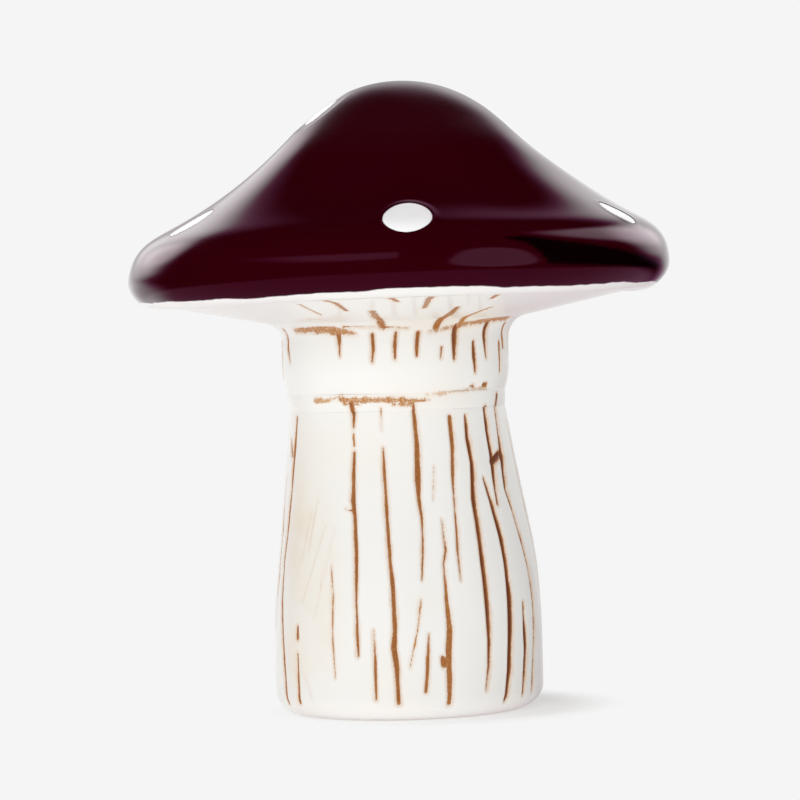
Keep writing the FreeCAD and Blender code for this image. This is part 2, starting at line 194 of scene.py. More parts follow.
def softLine(knots, levels, smoothing, period=None):
    # A broken line through the knots, its corners rounded.
    ends = (knots[0] - smoothing, knots[-1] + smoothing) if period is None else (-period, period)
    grid = np.linspace(*ends, 2001)
    count = int(3 * smoothing / (grid[1] - grid[0]))
    line = bellAverage(np.interp(grid, knots, levels, period=period), count)
    return lambda value: np.interp(value, grid, line)


def crowded(grid, density, count, closed=False):
    # Places along a line, as close together as the density given on a fine grid asks.
    total = np.concatenate([[0], np.cumsum((density[1:] + density[:-1]) / 2 * np.diff(grid))])
    return np.interp(np.linspace(0, total[-1], count, endpoint=not closed), total, grid)


def pathLengths(path):
    return np.concatenate([[0], np.cumsum(np.hypot(*np.diff(path, axis=0).T))])


def pathAt(path, lengths):
    known = pathLengths(path)
    return np.column_stack([np.interp(lengths, known, path[:, side]) for side in (0, 1)])


def evenPath(path, step):
    whole = pathLengths(path)[-1]
    return pathAt(path, np.linspace(0, whole, int(whole / step) + 1))


def wrapAngle(angle):
    return (angle + pi) % tau - pi


# Handwork that every piece shares: the cast leans a little, and the cap hangs lower on the left.

handLean = {
    "heights": (0, 14, 30, 44, 57, 70, 84, 92, 101, 112, 120),
    "shifts": (0, 0.25, 0.55, -0.15, -0.6, -0.8, 0.6, 1.0, 2.2, 1.8, 1.3),
    "smoothing": 4.0,
    "capTilt": 0.006,
    "capHeights": (70.0, 80.0),
}
leanAt = softLine(handLean["heights"], handLean["shifts"], handLean["smoothing"])


def handShaped(x, y, z):
    # x moves by a smooth curve of height, and over the neck z rises with x.
    tilt = handLean["capTilt"] * smoothStep(*handLean["capHeights"], z)
    return x + leanAt(z), y, z + tilt * x


def turnedGrid(path, azimuths, push=0.0, lift=0.0, closed=False):
    # Each point of the path goes round the axis, pushed along the path's normal and lifted along z.
    # Azimuth 0 faces the camera, and it grows towards +x.
    normals = pathNormals(path, closed)
    reach = path[:, :1] + normals[:, :1] * push
    height = path[:, 1:] + normals[:, 1:] * push + lift
    angle = azimuths[None, :]
    return handShaped(reach * np.sin(angle), -reach * np.cos(angle), height + 0 * angle)


def nodeSizes(node):
    low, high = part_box(node)
    return {"reach": (high[0] - low[0]) / 2 / mm, "low": low[2] / mm, "high": high[2] / mm}


# Shader maths


class NodeSheet:
    # A node tree that is filled from nothing.
    def __init__(self, tree):
        self.tree = tree
        tree.nodes.clear()

    def add(self, kind, settings=None, sockets=None, output=0):
        # Settings come first, because some of them change which sockets a node has.
        node = self.tree.nodes.new(kind)
        for name, value in (settings or {}).items():
            if name == "stops":
                self.setStops(node.color_ramp, value)
            else:
                setattr(node, name, value)
        for key, value in (sockets or {}).items():
            if isinstance(value, Wire):
                self.tree.links.new(value.socket, node.inputs[key])
            else:
                node.inputs[key].default_value = value
        return Wire(self, node.outputs[output] if node.outputs else None)

    def setStops(self, ramp, stops):
        while len(ramp.elements) < len(stops):
            ramp.elements.new(1.0)
        for element, (place, colour) in zip(ramp.elements, stops):
            element.position = place
            element.color = (*colour, 1.0)

    def attribute(self, name):
        return self.add("ShaderNodeAttribute", {"attribute_name": name}, output=2)

    def height(self):
        place = self.add("ShaderNodeTexCoord", output=3)
        return self.add("ShaderNodeSeparateXYZ", None, {0: place}, output=2)

    def noise(self, scale, detail=2.0, stretch=(1, 1, 1), roughness=0.5):
        # Noise in Object coordinates, 0 to 1. The scale is in features to the metre.
        place = self.add("ShaderNodeTexCoord", output=3)
        place = self.add("ShaderNodeMapping", None, {"Vector": place, "Scale": stretch})
        values = {"Vector": place, "Scale": scale, "Detail": detail, "Roughness": roughness}
        return self.add("ShaderNodeTexNoise", None, values)

    def principled(self, colour, roughness, others=None):
        values = {"Base Color": colour, "Roughness": roughness, **(others or {})}
        return self.add("ShaderNodeBsdfPrincipled", None, values)

    def blend(self, share, first, second):
        return self.add("ShaderNodeMix", {"data_type": "RGBA"}, {0: share, 6: first, 7: second}, output=2)


class Wire:
    # A socket's value. Arithmetic on it adds Math nodes to its sheet.
    def __init__(self, sheet, socket):
        self.sheet = sheet
        self.socket = socket

    def maths(self, operation, *values):
        return self.sheet.add("ShaderNodeMath", {"operation": operation}, dict(enumerate(values)))

    def __add__(self, other):
        return self.maths("ADD", self, other)

    def __sub__(self, other):
        return self.maths("SUBTRACT", self, other)

    def __rsub__(self, other):
        return self.maths("SUBTRACT", other, self)

    def __mul__(self, other):
        return self.maths("MULTIPLY", self, other)

    __radd__ = __add__
    __rmul__ = __mul__

    def step(self, low, high, bottom=0.0, top=1.0):
        # A smooth step from one value to another while this one goes from low to high.
        values = {0: self, 1: low, 2: high, 3: bottom, 4: top}
        return self.sheet.add("ShaderNodeMapRange", {"interpolation_type": "SMOOTHSTEP"}, values)


def newGlaze(name, build):
    material = bpy.data.materials.new(name)
    material.use_nodes = True
    sheet = NodeSheet(material.node_tree)
    sheet.add("ShaderNodeOutputMaterial", None, {"Surface": build(sheet)})
    return material


# Materials. Colours are linear.

whiteFinish = {
    "body": (0.83, 0.82, 0.792, 1),
    "warm": (0.80, 0.71, 0.58, 1),
    "tan": (0.60, 0.315, 0.10, 1),
    "sienna": (0.38, 0.135, 0.030, 1),
    "umber": (0.16, 0.040, 0.012, 1),
    "clay": (0.72, 0.66, 0.58, 1),
    "roughness": 0.42,
    "bareRougher": 0.4,
    "coat": 0.3,
    "coatRoughness": 0.05,
    "sheen": 0.25,
}


def whiteGlaze(sheet):
    # White glaze over brown wash. washEdge is in millimetres, over 0 inside a brush mark.
    look = whiteFinish
    edge = sheet.attribute("washEdge")
    ink = sheet.attribute("washInk")
    stain = sheet.attribute("stain")
    bare = sheet.attribute("bare")
    streaks = sheet.noise(900, 3, (1, 1, 0.25))
    grain = sheet.noise(2600, 2)
    cloud = sheet.noise(70, 3)
    dry = sheet.attribute("washDry")
    ragged = edge + (streaks - 0.5) * (dry * 1.2 + 0.45) + (grain - 0.5) * (dry * 1.3 + 0.35)
    mark = ragged.step(-0.05, 0.10) * ink.step(0.0, 0.6)
    mark = mark * (1.0 - dry * grain.step(0.46, 0.60) * 0.35)
    core = ragged.step(0.0, 0.40) * ink.step(0.75, 1.35)
    halo = (edge + (streaks - 0.5) * 1.0).step(-0.75, 0.1) * ink * 0.38
    tint = stain * cloud.step(0.35, 0.7, 0.5, 1.3) + cloud.step(0.5, 0.8) * 0.14
    glaze = sheet.blend(tint, look["body"], look["warm"])
    glaze = sheet.blend(halo, glaze, look["tan"])
    wash = sheet.blend(ink.step(0.3, 0.8), look["tan"], look["sienna"])
    wash = sheet.blend(grain.step(0.45, 0.70) * 0.6, wash, look["tan"])
    wash = sheet.blend(core, wash, look["umber"])
    colour = sheet.blend(mark, glaze, wash)
    colour = sheet.blend(bare, colour, look["clay"])
    return sheet.principled(colour, bare * look["bareRougher"] + look["roughness"], {
        "Coat Weight": look["coat"] - bare * look["coat"],
        "Specular IOR Level": look["sheen"],
        "Coat Roughness": look["coatRoughness"],
    })


wineFinish = {
    "body": (0.0225, 0.0001, 0.0016, 1),
    "thin": (0.0285, 0.0002, 0.0026, 1),
    # The colour of the painted shade on the right of the rim.
    "shadedGlaze": (0.0022, 0.0001, 0.0003, 1),
    # The colour of the painted shade in the thin ring round each spot's edge.
    "crease": (0.004, 0.002, 0.003, 1),
    "tint": (1.0, 0.45, 0.76, 1),
    "roughness": 0.06,
    "softHeights": (0.105, 0.112),
    "softTop": 0.20,
    "white": (0.83, 0.82, 0.80, 1),
}


def wineGlaze(sheet):
    # Wine glaze down to a hand-painted line under the rim, and white glaze below it.
    look = wineFinish
    cloud = sheet.noise(60, 3)
    line = sheet.attribute("glazeLine")
    brush = sheet.noise(420, 2)
    # Painted shade: a thin dark ring round each spot's edge, where the glaze is also rougher.
    crease = sheet.attribute("crease").step(0.0, 1.0)
    glaze = sheet.blend(cloud, look["body"], look["thin"])
    # Painted shade: darker glaze in a patch on the right of the rim.
    glaze = sheet.blend(sheet.attribute("pool"), glaze, look["shadedGlaze"])
    glaze = sheet.blend(crease, glaze, look["crease"])
    rough = cloud.step(0.3, 0.8, look["roughness"], look["roughness"] * 2) + crease * 0.6
    rough = rough + sheet.height().step(*look["softHeights"]) * look["softTop"]
    wine = sheet.principled(glaze, rough, {"Specular Tint": look["tint"]})
    white = sheet.principled(look["white"], whiteFinish["roughness"], {
        "Coat Weight": whiteFinish["coat"],
        "Coat Roughness": whiteFinish["coatRoughness"],
        "Specular IOR Level": whiteFinish["sheen"],
    })
    share = (line + (brush - 0.5) * 0.3 + (sheet.noise(90, 2) - 0.5) * 1.2).step(-0.10, 0.16)
    return sheet.add("ShaderNodeMixShader", None, {0: share, 1: white, 2: wine})


spotFinish = {
    "shades": ((0.92, 0.92, 0.92, 1), (0.96, 0.96, 0.96, 1)),
    "roughness": (0.30, 0.42),
    "coatRoughness": 0.05,
}
slipFinish = {
    "shades": ((0.80, 0.78, 0.73, 1), (0.74, 0.70, 0.62, 1)),
    "roughness": (0.5, 0.7),
}


def spotGlaze(sheet):
    cloud = sheet.noise(500, 2)
    rough = cloud.step(0.2, 0.9, *spotFinish["roughness"])
    coat = {"Coat Weight": 1.0, "Coat Roughness": spotFinish["coatRoughness"]}
    return sheet.principled(sheet.blend(cloud, *spotFinish["shades"]), rough, coat)


def slipClay(sheet):
    cloud = sheet.noise(300, 3)
    rough = cloud.step(0.2, 0.9, *slipFinish["roughness"])
    return sheet.principled(sheet.blend(cloud, *slipFinish["shades"]), rough)


whiteMaterial = newGlaze("whiteGlaze", whiteGlaze)
wineMaterial = newGlaze("wineGlaze", wineGlaze)
spotMaterial = newGlaze("spotGlaze", spotGlaze)
slipMaterial = newGlaze("slipClay", slipClay)
print("materials made")


# Outlines, in millimetres from the axis and from the floor

stemShape = {
    "topRadius": 20.4,
    "shoulderDrop": 10.1,
    "edgeRadius": 0.9,
    "swellHeight": 22.6,
    "swellRadius": 130.0,
    "footEdge": 4.5,
    "ringWidth": 4.2,
    "recess": 0.9,
    "wall": 4.0,
    "floorWall": 4.6,
    "innerFillet": 5.0,
    "spigotRadius": 17.0,
    "spigotWall": 3.6,
    "throatDrop": 5.0,
    "ventRadius": 4.0,
    "columns": 500,
    "neckSteps": (1.0, 3.0, 2.0, 4.0, 3.0),
    "floorSteps": (4.0, 2.5, 4.0, 1.0, 1.5),
}
stemBox = nodeSizes("stem")
undersideBox = nodeSizes("cap_underside")
crownBox = nodeSizes("cap_crown")


def stemOutline(step):
    # Foot, outer wall, shoulder and spigot, then the hollow inside down to the vent. A closed loop.
    shape = stemShape
    reach = stemBox["reach"]
    shoulder = stemBox["high"] - shape["shoulderDrop"]
    ring = reach - shape["footEdge"]
    lean = atan((reach - shape["topRadius"]) / (shoulder - shape["swellHeight"]))
    belly = shape["swellHeight"] - shape["swellRadius"] * np.tan(lean / 2)
    soft = shape["edgeRadius"]
    setback = soft * np.tan(pi / 4 - lean / 2)
    middle = (reach - shape["swellRadius"], belly)
    tip = stemBox["high"]
    bore = shape["spigotRadius"] - shape["spigotWall"]
    throat = shoulder - shape["throatDrop"]
    recess = shape["recess"]
    floor = recess + shape["floorWall"]
    fillet = shape["innerFillet"]
    inside = reach - shape["wall"]
    spigot, vent = shape["spigotRadius"], shape["ventRadius"]
    ramp = ring - shape["ringWidth"] - recess
    throatReach = reach - (throat - shape["swellHeight"]) * np.tan(lean) - shape["wall"] / cos(lean)
    outer = joinPath(
        arcPoints((ring, shape["footEdge"]), shape["footEdge"], -pi / 2, 0, step),
        arcPoints(middle, shape["swellRadius"], 0, lean, step),
        arcPoints((shape["topRadius"] - setback, shoulder - soft), soft, lean, pi / 2, step / 4),
    )
    outer = evenPath(outer, step)
    neck = [outer[-1], (spigot, shoulder), (spigot, tip), (bore, tip), (bore, shoulder)]
    neck.append((throatReach, throat))
    under = [(inside - fillet, floor), (vent, floor), (vent, recess), (ramp, recess)]
    under += [(ramp + recess, 0), outer[0]]
    hidden = joinPath(
        cornerPath(neck, shape["neckSteps"]),
        arcPoints(middle, shape["swellRadius"] - shape["wall"], lean, 0, 6.0),
        arcPoints((inside - fillet, floor + fillet), fillet, 0, -pi / 2, 1.5),
        cornerPath(under, shape["floorSteps"]),
    )
    return outer, hidden[1:-1]


undersideShape = {
    "fall": 4.75,
    "wall": 3.6,
    "throat": 4.0,
    "neckRadius": 21.8,
    "collarTop": 66.5,
    "collarTuck": 1.5,
    "boreRadius": 17.5,
    "columns": 560,
    "hiddenSteps": (1.2, 3.0, 3.0, 1.0),
}


def undersideOutline(step):
    # Collar foot, collar, throat, gilled plate, then the plate's top and the bore. A closed loop.
    shape = undersideShape
    edge = undersideBox["reach"]
    low = undersideBox["high"] - shape["wall"]
    foot = undersideBox["low"]
    neck = shape["neckRadius"]
    slope = shape["fall"] / (edge - neck)
    lean = atan(slope)
    setback = shape["throat"] * np.tan(pi / 4 - lean / 2)
    crook = low - shape["fall"]
    # The collar draws in towards its foot by the square of the way down.
    height = np.arange(foot, shape["collarTop"], step)
    share = (shape["collarTop"] - height) / (shape["collarTop"] - foot)
    tucked = neck - shape["collarTuck"] * share**2
    outer = joinPath(
        np.column_stack([tucked, height]),
        linePoints((neck, shape["collarTop"]), (neck, crook - setback), step),
        arcPoints((neck + shape["throat"], crook - setback), shape["throat"], pi, pi / 2 + lean, step),
        linePoints((neck + setback * cos(lean), crook + setback * sin(lean)), (edge, low), step),
    )
    top = low + shape["wall"]
    bore = shape["boreRadius"]
    inner = top - slope * (edge - bore)
    corners = ((edge, low), (edge, top), (bore, inner), (bore, foot), outer[0])
    hidden = cornerPath(corners, shape["hiddenSteps"])
    return outer, hidden[1:-1]


stemOuter, stemHidden = stemOutline(0.4)
undersideOuter, undersideHidden = undersideOutline(0.4)

# The wall that the wash is brushed on: up the stem, over the joint and the collar, out along the gills.
wallPath = np.vstack([stemOuter, undersideOuter])
wallPath = wallPath[np.concatenate([[True], np.diff(wallPath[:, 1]) > 1e-3])]
wallLengths = pathLengths(wallPath)


def wallReachAt(height):
    return np.interp(height, wallPath[:, 1], wallPath[:, 0])


def wallAlong(height):
    return np.interp(height, wallPath[:, 1], wallLengths)


def photoToWall(pixels):
    # March each ray to the wall: azimuth and height of the first point inside it, or of the nearest.
    start, rays = photoRays(pixels)
    steps = np.arange(-60, 12, 0.05) + photoCamera["distance"] / mm
    places = start + rays[:, None, :] * steps[None, :, None]
    height = places[..., 2]
    across = places[..., 0] - leanAt(height)
    gap = np.hypot(across, places[..., 1]) - wallReachAt(height)
    met = np.where((gap <= 0).any(axis=1), (gap <= 0).argmax(axis=1), gap.argmin(axis=1))
    row = np.arange(len(met))
    return np.arctan2(across[row, met], -places[row, met, 1]), height[row, met]


# Brush marks seen in the photograph: ink, dryness of the brush, and then pixel across, pixel down and width
# in pixels at each dot along the mark.

stemMarks = (
    (0.8, 0, (297, 418, 2), (295, 447, 3), (291, 490, 2), (284, 560, 2), (282, 600, 2),
     (283, 640, 2), (289, 703, 2)),
    (0.7, 0, (291, 440, 2), (292, 456, 2)),
    (0.6, 0, (331, 566, 1), (333, 596, 2), (332, 632, 2), (333, 656, 2), (335, 678, 1)),
    (1.0, 0, (353, 403, 8), (353, 414, 5), (353, 427, 2)),
    (0.6, 0, (353, 434, 2), (354, 446, 2)),
    (1.0, 0, (354, 452, 3), (353, 500, 6), (355, 520, 4), (356, 560, 5), (356, 600, 3),
     (357, 630, 4), (358, 656, 3)),
    (0.8, 0, (346, 509, 1), (352, 511, 3)),
    (0.6, 0, (381, 408, 2), (382, 430, 1)),
    (1.0, 0, (383, 448, 2), (385, 484, 4), (387, 520, 5), (390, 560, 4), (393, 590, 6),
     (395, 630, 6), (394, 648, 7),
     (397, 670, 6), (399, 704, 5)),
    (1.0, 0, (412.5, 403, 2), (415, 422, 5), (417, 447, 6), (418, 480, 8), (419, 500, 5),
     (422, 516, 3), (423, 540, 2),
     (422, 580, 2)),
    (0.6, 0, (421, 600, 2), (418, 630, 2), (414, 648, 2), (410, 668, 1)),
    (0.9, 0, (374, 630, 1), (375, 660, 4), (376, 700, 3)),
    (0.9, 0, (429, 634, 2), (428, 660, 4), (426, 692, 4)),
    (0.9, 0, (442, 520, 1), (446, 550, 3), (444, 564, 3), (447, 600, 5), (450, 630, 7),
     (449, 652, 8), (450, 680, 7),
     (449, 704, 5)),
    (0.9, 0, (443, 658, 6), (445, 664, 10)),
    (0.5, 0, (434, 466, 1), (433, 500, 1)),
    (1.0, 0, (450, 417, 6), (452.5, 447, 5), (453, 480, 3), (456, 520, 2), (458, 550, 3), (461, 580, 1)),
    (1.3, 0, (466, 415, 3), (468, 438, 5), (472.5, 463, 5), (474, 500, 6), (478, 526, 5),
     (483, 564, 5), (488, 610, 5),
     (490, 640, 4), (490, 666, 4), (487, 690, 1)),
    (1.3, 0, (484, 478, 2), (491, 500, 4), (501, 536, 5), (506, 564, 4), (510, 600, 6),
     (511, 630, 6), (510, 670, 5),
     (506, 700, 4)),
    (1.3, 0, (485, 407, 3), (488, 430, 4), (492.5, 455, 5), (495, 480, 4), (498, 504, 2)),
    (1.3, 0, (493, 462, 6), (500, 454, 5)),
    (1.3, 0, (494, 395, 2), (497.5, 422, 2), (501, 447, 3), (503, 457, 5), (506, 488, 3),
     (513, 510, 2), (523, 546, 2),
     (529, 572, 2), (533, 604, 2), (534, 640, 2), (532, 690, 2)),
    (1.3, 0, (523, 602, 1), (525, 630, 4), (526, 650, 4), (523, 694, 2)),
    (0.9, 0, (297, 626, 2), (297, 638, 3)),
    (0.9, 0, (297, 654, 2), (300, 703, 3)),
    (0.18, 0, (318, 500, 1), (308, 552, 1)),
    (0.18, 0, (335, 528, 1), (314, 616, 1)),
    (0.15, 0, (326, 525, 1), (302, 602, 1)),
    (0.15, 0, (312, 512, 1), (301, 560, 1)),
    (0.15, 0, (324, 560, 1), (318, 600, 1)),
    (0.18, 0, (305, 676, 1), (312, 698, 1)),
)
jointMarks = (
    (0.6, 1, (341, 400, 5), (352, 400.5, 9), (372, 400.5, 9), (400, 400.5, 10), (414, 401, 8),
     (427, 400, 3)),
    (0.6, 1, (348, 404, 6), (360, 404, 6)),
    (0.6, 1, (394, 404, 6), (410, 404, 6)),
    (0.5, 1, (317, 401, 4), (329, 401, 4), (342, 396, 2)),
    (0.35, 1, (428, 395, 2), (460, 391, 2), (487, 387, 2)),
    (1.0, 0, (471, 387, 2), (474, 386, 2)),
    (1.0, 0, (484, 385, 3), (487, 384.5, 3)),
)
collarMarks = (
    (0.8, 0, (284, 330, 2), (288, 347, 2), (290, 363, 1)),
    (0.6, 1, (295, 331, 4), (318, 330, 7), (336, 331, 10), (344, 332, 9), (356, 334, 4)),
    (0.9, 0, (338, 336, 6), (339, 356, 2)),
    (0.7, 0, (343, 327, 2), (372, 327, 2), (408, 328, 2)),
    (0.8, 0.5, (372, 311, 8), (376, 318, 10), (382, 327, 8)),
    (1.0, 0, (372, 335, 5), (373, 350, 4), (372, 362, 2)),
    (1.0, 0, (396, 333, 4), (395, 345, 5), (395, 359, 2)),
    (1.0, 0, (418, 333, 5), (417, 345, 5), (417, 356, 3)),
    (0.8, 0, (442, 347, 3), (441, 358, 2)),
    (1.15, 0, (456, 327, 6), (455, 342, 6), (455, 359, 3)),
    (1.15, 0, (474, 342, 3), (475, 356, 5), (476, 371, 2)),
    (1.15, 0, (487, 325, 5), (485, 338, 4), (487, 357, 2)),
    (0.7, 0, (499, 342, 2), (500, 371, 2)),
    (0.7, 0, (505, 323, 2), (503, 347, 2)),
    (0.6, 1, (430, 332, 3), (453, 327, 4), (480, 322, 6), (508, 318, 4)),
    (0.8, 0, (458, 308, 5), (448, 317, 10), (436, 328, 8)),
    (0.6, 0, (492, 308, 4), (466, 318, 7), (460, 326, 5)),
)
gillMarks = (
    (0.6, 0, (287, 297, 3), (295, 301, 2)),
    (0.6, 0, (299, 304, 3), (321, 315, 3)),
    (0.7, 0, (323, 296, 7), (335, 303, 7), (346, 311, 6)),
    (0.6, 0, (305, 319, 3), (327, 321, 4)),
    (0.7, 0, (390, 295, 8), (397, 302, 6)),
    (0.7, 0, (434, 292, 9), (429, 300, 8), (424, 309, 5)),
    (0.7, 0, (512, 288, 8), (502, 294, 8), (492, 300, 5)),
)
brush = {
    "pixelSize": 0.188,
    "widthShare": 0.79,
    "leastFacing": 0.35,
    "blank": -9.0,
    "grooveDepth": 0.35,
    "grooveEdge": (-0.35, 0.25),
    "hiddenDegrees": (80, 280),
    "uneven": (0.7, 1.3),
    "seed": 23,
}


def photoMarks(marks):
    # Azimuth, place along the wall, half width, ink and dryness.
    found = []
    for ink, dryness, *dots in marks:
        dots = np.array(dots, float)
        azimuth, height = photoToWall(dots)
        facing = np.maximum(np.cos(azimuth), brush["leastFacing"])
        half = dots[:, 2] * brush["widthShare"] * brush["pixelSize"] / 2 / facing
        found.append((azimuth, wallAlong(height), half, ink, dryness))
    return found


def hiddenMarks(count, firstHeight, lastHeight, lengthRange, widthRange, wander):
    # The same hand on the sides and the back: marks of uneven length that wander a little.
    draw = np.random.default_rng(brush["seed"] + count)
    first, last = wallAlong(firstHeight), wallAlong(lastHeight)
    found = []
    for place in np.linspace(*brush["hiddenDegrees"], count):
        dots = draw.integers(4, 8)
        length = draw.uniform(*lengthRange) * (last - first)
        start = first + draw.uniform(0, 1) * (last - first - length)
        along = start + np.linspace(0, length, dots)
        reach = wallReachAt(np.interp(along, wallLengths, wallPath[:, 1]))
        shift = np.cumsum(draw.normal(0, wander, dots)) / reach
        azimuth = radians(place + draw.uniform(-4, 4)) + shift
        half = draw.uniform(*widthRange) * np.sin(np.linspace(0.25, 2.7, dots))
        half = half * draw.uniform(*brush["uneven"], dots)
        found.append((azimuth, along, half, draw.uniform(0.6, 1.0), 0.0))
    return found


def brushField(marks, azimuths, path):
    # Half a mark's width less the distance to its line, with the ink and dryness of the mark on top.
    reach = path[:, :1]
    along = wallAlong(path[:, 1:])
    edge = np.full((len(path), len(azimuths)), brush["blank"])
    ink = np.zeros_like(edge)
    dry = np.zeros_like(edge)
    for azimuth, place, half, strength, dryness in marks:
        for k in range(len(azimuth) - 1):
            offset = wrapAngle(azimuths[None, :] - azimuth[k]) * reach
            climb = along - place[k]
            runAcross = (azimuth[k + 1] - azimuth[k]) * reach
            runAlong = place[k + 1] - place[k]
            share = (offset * runAcross + climb * runAlong) / (runAcross**2 + runAlong**2 + 1e-9)
            share = np.clip(share, 0, 1)
            away = np.hypot(offset - share * runAcross, climb - share * runAlong)
            value = half[k] + share * (half[k + 1] - half[k]) - away
            ink = np.where(value > edge, strength, ink)
            dry = np.where(value > edge, dryness, dry)
            edge = np.maximum(edge, value)
    return {"washEdge": edge, "washInk": ink, "washDry": dry, "stain": stainField(azimuths, path)}


# Warm stains under the glaze: azimuth, height, spread round, spread up, strength.
stains = (
    (-55, 33, 12, 14, 0.75),
    (-38, 26, 9, 14, 0.45),
    (-58, 10, 10, 9, 0.45),
    (-30, 50, 22, 8, 0.25),
    (-12, 8, 12, 5, 0.30),
    (10, 60, 30, 2.5, 0.25),
    (-8, 74, 40, 2.0, 0.30),
    (35, 74, 25, 2.5, 0.35),
    (150, 30, 25, 18, 0.40),
    (-140, 48, 18, 12, 0.30),
)


def stainField(azimuths, path):
    total = np.zeros((len(path), len(azimuths)))
    for azimuth, height, across, up, strength in stains:
        side = np.degrees(wrapAngle(azimuths[None, :] - radians(azimuth))) / across
        total += strength * np.exp(-side**2 - ((path[:, 1:] - height) / up) ** 2)
    return np.clip(total, 0, 1)


wallMarks = (
    photoMarks(stemMarks + jointMarks + collarMarks + gillMarks)
    + hiddenMarks(19, 2, 58, (0.3, 0.95), (0.2, 0.55), 0.5)
    + hiddenMarks(13, 62, 73, (0.3, 0.7), (0.3, 0.6), 0.2)
    + hiddenMarks(11, 74.8, 78.6, (0.2, 0.5), (0.2, 0.5), 0.3)
)
print("brush marks:", len(wallMarks))


# White pieces

whiteWall = {
    "frontGap": 0.2,
    "backGap": 0.42,
    "frontDegrees": (96, 84),
    "bareBelow": (0.25, 0.0),
    "trueBelow": (0, 3),
    "waves": ((5, 0.11, 0.08, 0.4), (11, 0.23, 0.02, 2.1)),
}
fineAngles = np.linspace(-pi, pi, 2001)
inFront = smoothStep(*whiteWall["frontDegrees"], abs(np.degrees(fineAngles)))
whiteDensity = (1 - inFront) / whiteWall["backGap"] + inFront / whiteWall["frontGap"]


def whitePiece(name, outer, hidden, columns):
    # Outer wall with its marks cut in, and the plain hidden side, as one closed ring of rows.
    azimuths = crowded(fineAngles, whiteDensity, columns, closed=True)
    path = np.vstack([outer, hidden])
    fields = brushField(wallMarks, azimuths, outer)
    blank = np.zeros((len(hidden), columns))
    for field, values in fields.items():
        fields[field] = np.vstack([values, blank + (brush["blank"] if field == "washEdge" else 0)])
    foot = smoothStep(*whiteWall["bareBelow"], outer[:, 1])
    bare = np.concatenate([foot, np.ones(len(hidden))])[:, None]
    fields["bare"] = bare + np.zeros((1, columns))
    groove = smoothStep(*brush["grooveEdge"], fields["washEdge"]) * fields["washInk"]
    waves = ripples(azimuths, path) * smoothStep(*whiteWall["trueBelow"], path[:, 1:])
    push = waves - brush["grooveDepth"] * groove
    push[len(outer):] = 0
    x, y, z = turnedGrid(path, azimuths, push, closed=True)
    piece = turnedMesh(name, x, y, z, closed=True, fields=fields)
    finishPiece(piece, whiteMaterial, "white_glaze", name)


def ripples(azimuths, path):
    # The turned wall isn't quite true: a few slow waves round it and up it.
    total = 0
    for count, rise, size, phase in whiteWall["waves"]:
        total = total + size * np.sin(count * azimuths[None, :] + path[:, 1:] * rise + phase)
    return total


whitePiece("stem", stemOuter, stemHidden, stemShape["columns"])
whitePiece("cap_underside", undersideOuter, undersideHidden, undersideShape["columns"])


def slipRing(name, path, columns, material):
    azimuths = np.linspace(-pi, pi, columns, endpoint=False)
    fields = brushField(wallMarks, azimuths, path)
    fields["bare"] = 0 * fields["stain"]
    x, y, z = turnedGrid(path, azimuths, closed=True)
    finishPiece(turnedMesh(name, x, y, z, closed=True, fields=fields), material, "slip", name)


jointBead = {
    "lowDrop": 1.5,
    "highRise": 1.3,
    "proud": 0.02,
    "bulge": 0.10,
    "sleeveReach": 17.05,
    "sleeveEnds": (1.5, 1.8),
    "step": 0.12,
    "backStep": 0.5,
    "columns": 900,
}


def collarBead():
    # Slip wiped over the groove between stem and collar: flush at its ends, closed by a straight back.
    lowest = stemOuter[-1, 1] - jointBead["lowDrop"]
    highest = undersideOuter[0, 1] + jointBead["highRise"]
    low = (wallReachAt(lowest) + jointBead["proud"], lowest)
    high = (wallReachAt(highest) + jointBead["proud"], highest)
    face = linePoints(low, high, jointBead["step"])
    share = np.linspace(0, 1, len(face))
    face[:, 0] += 4 * share * (1 - share) * jointBead["bulge"]
    sleeve = jointBead["sleeveReach"]
    above, below = jointBead["sleeveEnds"]
    back = linePoints((sleeve, highest - above), (sleeve, lowest + below), jointBead["backStep"])
    return np.vstack([face, back])


slipRing("collar_slip_joint", collarBead(), jointBead["columns"], whiteMaterial)
rimJoint = {
    "inside": 0.1,
    "outside": 0.6,
    "below": 0.05,
    "height": 3.4,
    "step": 0.3,
    "columns": 480,
}


def rimRing():
    # An upright band of slip between the underside's edge and the crown.
    inner = undersideBox["reach"] - rimJoint["inside"]
    outer = undersideBox["reach"] + rimJoint["outside"]
    low = crownBox["low"] - rimJoint["below"]
    high = crownBox["low"] + rimJoint["height"]
    step = rimJoint["step"]
    under = linePoints((inner, low), (outer, low), step)
    over = linePoints((outer, high), (inner, high), step)
    return joinPath(under, over)


slipRing("rim_slip_joint", rimRing(), rimJoint["columns"], slipMaterial)
print("white pieces made")


# Crown and spots

crownShape = {
    "domeRadius": 28.0,
    "flareRadius": 90.0,
    "shoulderRadius": 8.0,
    "rollRadius": 6.0,
    "wall": 4.0,
    "columns": 540,
    "rimLift": {
        "degrees": (-180, -120, -64, -33, -18, 9, 30, 50, 90, 140),
        "lifts": (0.2, -0.3, -0.7, -0.6, 0.2, 0.2, -0.3, -0.1, -0.5, -0.2),
    },
    "ease": 2.2,
    "easeHeights": (83.0, 87.0),
    "easeReach": (4.0, 12.0),
    "crestSwell": 0.4,
    "crestReach": (22.0, 8.0),
    "paintHeight": 80.3,
    "plainRow": 0.75,
    "spotRow": 0.3,
    "spotRows": (8.4, 7.0),
    "lipRow": 0.45,
    "lipRows": (20.0, 14.0),
    "spotColumns": 1.6,
    "spotAngles": (7.5, 6.0),
    "domeReach": 30.0,
    "rimFade": (22.0, 6.0),
}
